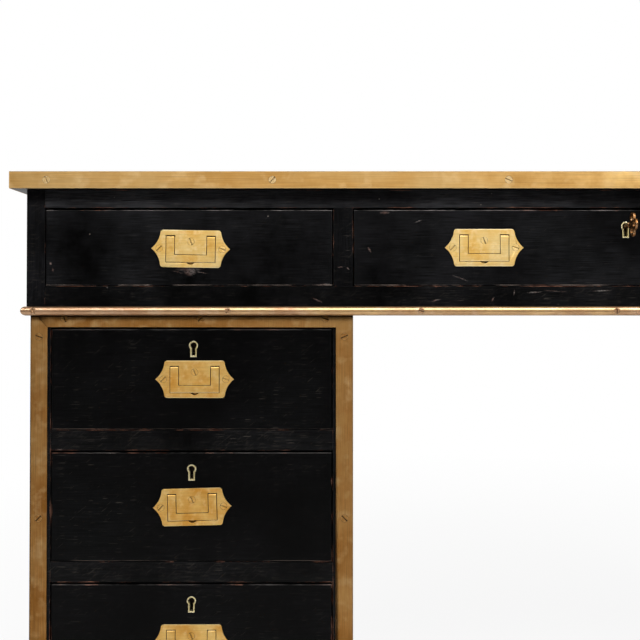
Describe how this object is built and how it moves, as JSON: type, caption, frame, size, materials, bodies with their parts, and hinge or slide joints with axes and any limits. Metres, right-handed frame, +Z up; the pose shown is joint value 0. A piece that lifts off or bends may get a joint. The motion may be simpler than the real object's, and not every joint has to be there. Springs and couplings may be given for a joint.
{
  "type": "campaign desk",
  "caption": "Black lacquered campaign desk with brass-bound edges, a leather writing top, flush brass handles, and drawers in its frieze and pedestals.",
  "frame": {"origin": "on the floor, in the middle of the box that holds the desk and the key in its centre drawer", "axes": "+X to the right of someone facing the drawers, +Y from the drawer fronts to the back, +Z up"},
  "size_m": [1.372, 0.681, 0.751],
  "materials": {
    "black_lacquered_wood": "black lacquer over hardwood, polished by use, edges worn to brown",
    "bare_carcass_wood": "unpolished hardwood inside the case",
    "drawer_lining_wood": "waxed drawer lining",
    "black_writing_leather": "black hide with a plain tooled border",
    "aged_trim_brass": "old brass, rubbed along its length",
    "handle_brass": "polished brass with fine scratches",
    "dark_key_brass": "cast brass, dark in its hollows",
    "lock_steel": "filed steel"
  },
  "bodies": {
    "root": {"top_board": "black_lacquered_wood", "writing_leather": "black_writing_leather", "top_edge_strips": "aged_trim_brass", "frieze_ends": "black_lacquered_wood", "frieze_partitions": "black_lacquered_wood", "frieze_top_rail": "black_lacquered_wood", "frieze_bottom_rail": "black_lacquered_wood", "frieze_back": "black_lacquered_wood", "frieze_dust_board": "bare_carcass_wood", "waist_beading": "aged_trim_brass", "pedestal_sides": "black_lacquered_wood", "pedestal_backs": "black_lacquered_wood", "pedestal_top_boards": "black_lacquered_wood", "pedestal_bottom_boards": "black_lacquered_wood", "pedestal_rails": "black_lacquered_wood", "drawer_runners": "bare_carcass_wood", "pedestal_brass_strips": "aged_trim_brass", "turned_feet": "black_lacquered_wood", "trim_screws": "aged_trim_brass"},
    "left_frieze_drawer": {"left_frieze_drawer_front": "black_lacquered_wood", "left_frieze_drawer_box": "drawer_lining_wood", "left_frieze_handle_plate": "handle_brass"},
    "left_frieze_bail": {"left_frieze_bail": "handle_brass"},
    "right_frieze_drawer": {"right_frieze_drawer_front": "black_lacquered_wood", "right_frieze_drawer_box": "drawer_lining_wood", "right_frieze_handle_plate": "handle_brass"},
    "right_frieze_bail": {"right_frieze_bail": "handle_brass"},
    "centre_drawer": {"centre_drawer_front": "black_lacquered_wood", "centre_drawer_box": "drawer_lining_wood", "centre_handle_plates": "handle_brass", "centre_escutcheon": "handle_brass", "centre_lock": "handle_brass"},
    "centre_left_bail": {"centre_left_bail": "handle_brass"},
    "centre_right_bail": {"centre_right_bail": "handle_brass"},
    "centre_key": {"centre_key": "dark_key_brass"},
    "centre_lock_bolt": {"centre_lock_bolt": "lock_steel"},
    "left_upper_drawer": {"left_upper_drawer_front": "black_lacquered_wood", "left_upper_drawer_box": "drawer_lining_wood", "left_upper_brassware": "handle_brass"},
    "left_upper_bail": {"left_upper_bail": "handle_brass"},
    "left_middle_drawer": {"left_middle_drawer_front": "black_lacquered_wood", "left_middle_drawer_box": "drawer_lining_wood", "left_middle_brassware": "handle_brass"},
    "left_middle_bail": {"left_middle_bail": "handle_brass"},
    "left_lower_drawer": {"left_lower_drawer_front": "black_lacquered_wood", "left_lower_drawer_box": "drawer_lining_wood", "left_lower_brassware": "handle_brass"},
    "left_lower_bail": {"left_lower_bail": "handle_brass"},
    "right_upper_drawer": {"right_upper_drawer_front": "black_lacquered_wood", "right_upper_drawer_box": "drawer_lining_wood", "right_upper_brassware": "handle_brass"},
    "right_upper_bail": {"right_upper_bail": "handle_brass"},
    "right_middle_drawer": {"right_middle_drawer_front": "black_lacquered_wood", "right_middle_drawer_box": "drawer_lining_wood", "right_middle_brassware": "handle_brass"},
    "right_middle_bail": {"right_middle_bail": "handle_brass"},
    "right_lower_drawer": {"right_lower_drawer_front": "black_lacquered_wood", "right_lower_drawer_box": "drawer_lining_wood", "right_lower_brassware": "handle_brass"},
    "right_lower_bail": {"right_lower_bail": "handle_brass"}
  },
  "joints": [
    {"name": "left_frieze_drawer_slide", "type": "slide", "parent": "root", "child": "left_frieze_drawer", "axis": [0, -1, 0], "range_m": [0, 0.42]},
    {"name": "left_frieze_bail_hinge", "type": "hinge", "parent": "left_frieze_drawer", "child": "left_frieze_bail", "pos_m": [-0.48706, -0.3035, 0.67824], "axis": [-0.9999, 0, 0.0157], "range_deg": [0, 90]},
    {"name": "right_frieze_drawer_slide", "type": "slide", "parent": "root", "child": "right_frieze_drawer", "axis": [0, -1, 0], "range_m": [0, 0.42]},
    {"name": "right_frieze_bail_hinge", "type": "hinge", "parent": "right_frieze_drawer", "child": "right_frieze_bail", "pos_m": [0.48895, -0.3035, 0.67954], "axis": [-1, 0, 0], "range_deg": [0, 90]},
    {"name": "centre_drawer_slide", "type": "slide", "parent": "root", "child": "centre_drawer", "axis": [0, -1, 0], "range_m": [0, 0.42]},
    {"name": "centre_left_bail_hinge", "type": "hinge", "parent": "centre_drawer", "child": "centre_left_bail", "pos_m": [-0.15856, -0.3035, 0.67954], "axis": [-1, 0, 0], "range_deg": [0, 90]},
    {"name": "centre_right_bail_hinge", "type": "hinge", "parent": "centre_drawer", "child": "centre_right_bail", "pos_m": [0.15856, -0.3035, 0.67954], "axis": [-1, 0, 0], "range_deg": [0, 90]},
    {"name": "centre_key_turn", "type": "hinge", "parent": "centre_drawer", "child": "centre_key", "pos_m": [0, -0.3045, 0.6912], "axis": [0, 1, 0], "range_deg": [0, 180]},
    {"name": "centre_lock_bolt_slide", "type": "slide", "parent": "centre_drawer", "child": "centre_lock_bolt", "axis": [0, 0, 1], "range_m": [0, 0.006]},
    {"name": "left_upper_drawer_slide", "type": "slide", "parent": "root", "child": "left_upper_drawer", "axis": [0, -1, 0], "range_m": [0, 0.42]},
    {"name": "left_upper_bail_hinge", "type": "hinge", "parent": "left_upper_drawer", "child": "left_upper_bail", "pos_m": [-0.4833, -0.2984, 0.53194], "axis": [-1, 0, 0], "range_deg": [0, 90]},
    {"name": "left_middle_drawer_slide", "type": "slide", "parent": "root", "child": "left_middle_drawer", "axis": [0, -1, 0], "range_m": [0, 0.42]},
    {"name": "left_middle_bail_hinge", "type": "hinge", "parent": "left_middle_drawer", "child": "left_middle_bail", "pos_m": [-0.486, -0.2984, 0.38904], "axis": [-0.9997, 0, -0.0244], "range_deg": [0, 90]},
    {"name": "left_lower_drawer_slide", "type": "slide", "parent": "root", "child": "left_lower_drawer", "axis": [0, -1, 0], "range_m": [0, 0.42]},
    {"name": "left_lower_bail_hinge", "type": "hinge", "parent": "left_lower_drawer", "child": "left_lower_bail", "pos_m": [-0.4865, -0.2984, 0.23714], "axis": [-1, 0, 0], "range_deg": [0, 90]},
    {"name": "right_upper_drawer_slide", "type": "slide", "parent": "root", "child": "right_upper_drawer", "axis": [0, -1, 0], "range_m": [0, 0.42]},
    {"name": "right_upper_bail_hinge", "type": "hinge", "parent": "right_upper_drawer", "child": "right_upper_bail", "pos_m": [0.4865, -0.2984, 0.53194], "axis": [-1, 0, 0], "range_deg": [0, 90]},
    {"name": "right_middle_drawer_slide", "type": "slide", "parent": "root", "child": "right_middle_drawer", "axis": [0, -1, 0], "range_m": [0, 0.42]},
    {"name": "right_middle_bail_hinge", "type": "hinge", "parent": "right_middle_drawer", "child": "right_middle_bail", "pos_m": [0.4865, -0.2984, 0.38904], "axis": [-1, 0, 0], "range_deg": [0, 90]},
    {"name": "right_lower_drawer_slide", "type": "slide", "parent": "root", "child": "right_lower_drawer", "axis": [0, -1, 0], "range_m": [0, 0.42]},
    {"name": "right_lower_bail_hinge", "type": "hinge", "parent": "right_lower_drawer", "child": "right_lower_bail", "pos_m": [0.4865, -0.2984, 0.23714], "axis": [-1, 0, 0], "range_deg": [0, 90]}
  ],
  "couplings": [
    {"joint": "centre_key_turn", "follows": "centre_lock_bolt_slide", "rad_per_m": 523.59}
  ]
}
